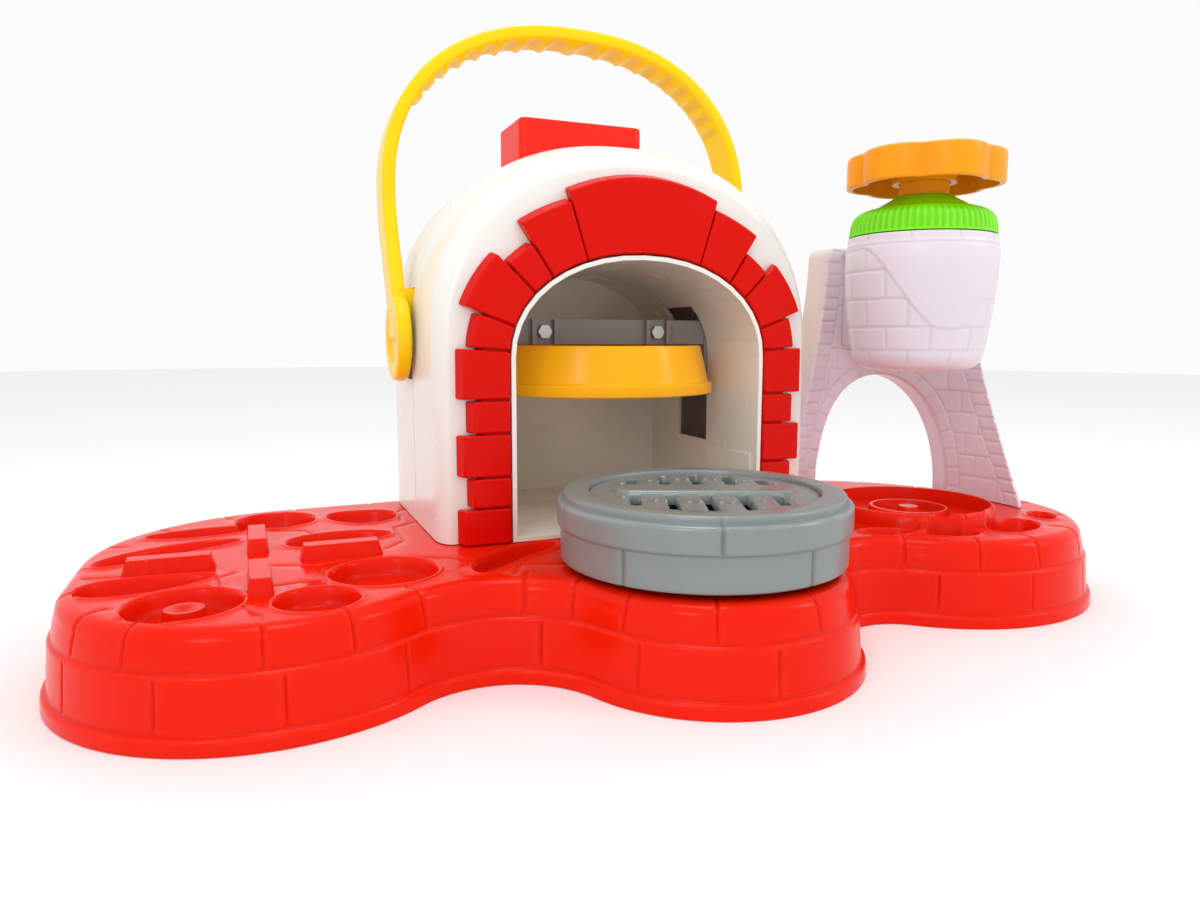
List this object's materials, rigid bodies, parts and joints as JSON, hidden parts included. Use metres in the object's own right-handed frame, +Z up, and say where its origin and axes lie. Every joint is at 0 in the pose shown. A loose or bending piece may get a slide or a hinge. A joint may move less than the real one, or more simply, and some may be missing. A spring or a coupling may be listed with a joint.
{
  "type": "toy oven",
  "caption": "Toy pizza oven on a lobed base with topping moulds: a domed oven with a bail press over a sliding pan, and a screw-fed dough extruder on a curved brick tower.",
  "frame": {"origin": "middle of the overall width and depth, on the surface that the base stands on", "axes": "+X to the right when facing the oven's mouth, +Y from the mouth to the back, +Z up"},
  "size_m": [0.3586, 0.1885, 0.214],
  "materials": {
    "base_red": "moulded, semi-gloss",
    "trim_red": "moulded, semi-gloss",
    "chimney_red": "moulded, semi-gloss",
    "shell_white": "moulded, semi-gloss",
    "lavender": "moulded, semi-gloss",
    "cap_green": "moulded, semi-gloss",
    "knob_orange": "moulded, semi-gloss",
    "handle_yellow": "moulded, semi-gloss",
    "stamper_amber": "moulded, semi-gloss",
    "pan_grey": "moulded, satin",
    "screw_steel": "zinc plated",
    "seal_black": "matt"
  },
  "bodies": {
    "base": {"base_shell": "base_red", "oven_front_shell": "shell_white", "oven_rear_shell": "shell_white", "oven_liner": "shell_white", "brick_arch": "trim_red", "chimney": "chimney_red", "tower": "lavender", "extruder_barrel": "lavender", "nozzle_plate": "lavender", "oven_screw_1": "screw_steel", "oven_screw_2": "screw_steel", "oven_screw_3": "screw_steel", "oven_screw_4": "screw_steel", "tower_screw_1": "screw_steel", "tower_screw_2": "screw_steel"},
    "press": {"handle": "handle_yellow", "carriage": "pan_grey", "stamper": "stamper_amber", "carriage_bolt_left": "screw_steel", "carriage_bolt_right": "screw_steel", "handle_pin_left": "screw_steel", "handle_pin_right": "screw_steel"},
    "pan": {"pan_body": "pan_grey", "pan_grate": "pan_grey"},
    "cap": {"barrel_cap": "cap_green"},
    "plunger": {"piston": "knob_orange", "piston_seal": "seal_black"},
    "knob": {"spindle": "knob_orange", "knob": "knob_orange"}
  },
  "joints": [
    {"name": "press_slide", "type": "slide", "parent": "base", "child": "press", "axis": [0, 0, -1], "range_m": [0, 0.022]},
    {"name": "pan_slide", "type": "slide", "parent": "base", "child": "pan", "axis": [0, 1, 0], "range_m": [0, 0.084]},
    {"name": "cap_turn", "type": "hinge", "parent": "base", "child": "cap", "pos_m": [0.1087, -0.01125, 0.1323], "axis": [0, 0, 1], "range_deg": [0, 60]},
    {"name": "plunger_slide", "type": "slide", "parent": "cap", "child": "plunger", "axis": [0, 0, 1], "range_m": [-0.0024, 0.0237]},
    {"name": "knob_turn", "type": "hinge", "parent": "plunger", "child": "knob", "pos_m": [0.1087, -0.01125, 0.1323], "axis": [0, 0, 1], "range_deg": [-49, 475]}
  ],
  "couplings": [
    {"joint": "knob_turn", "follows": "plunger_slide", "rad_per_m": 349.07}
  ]
}
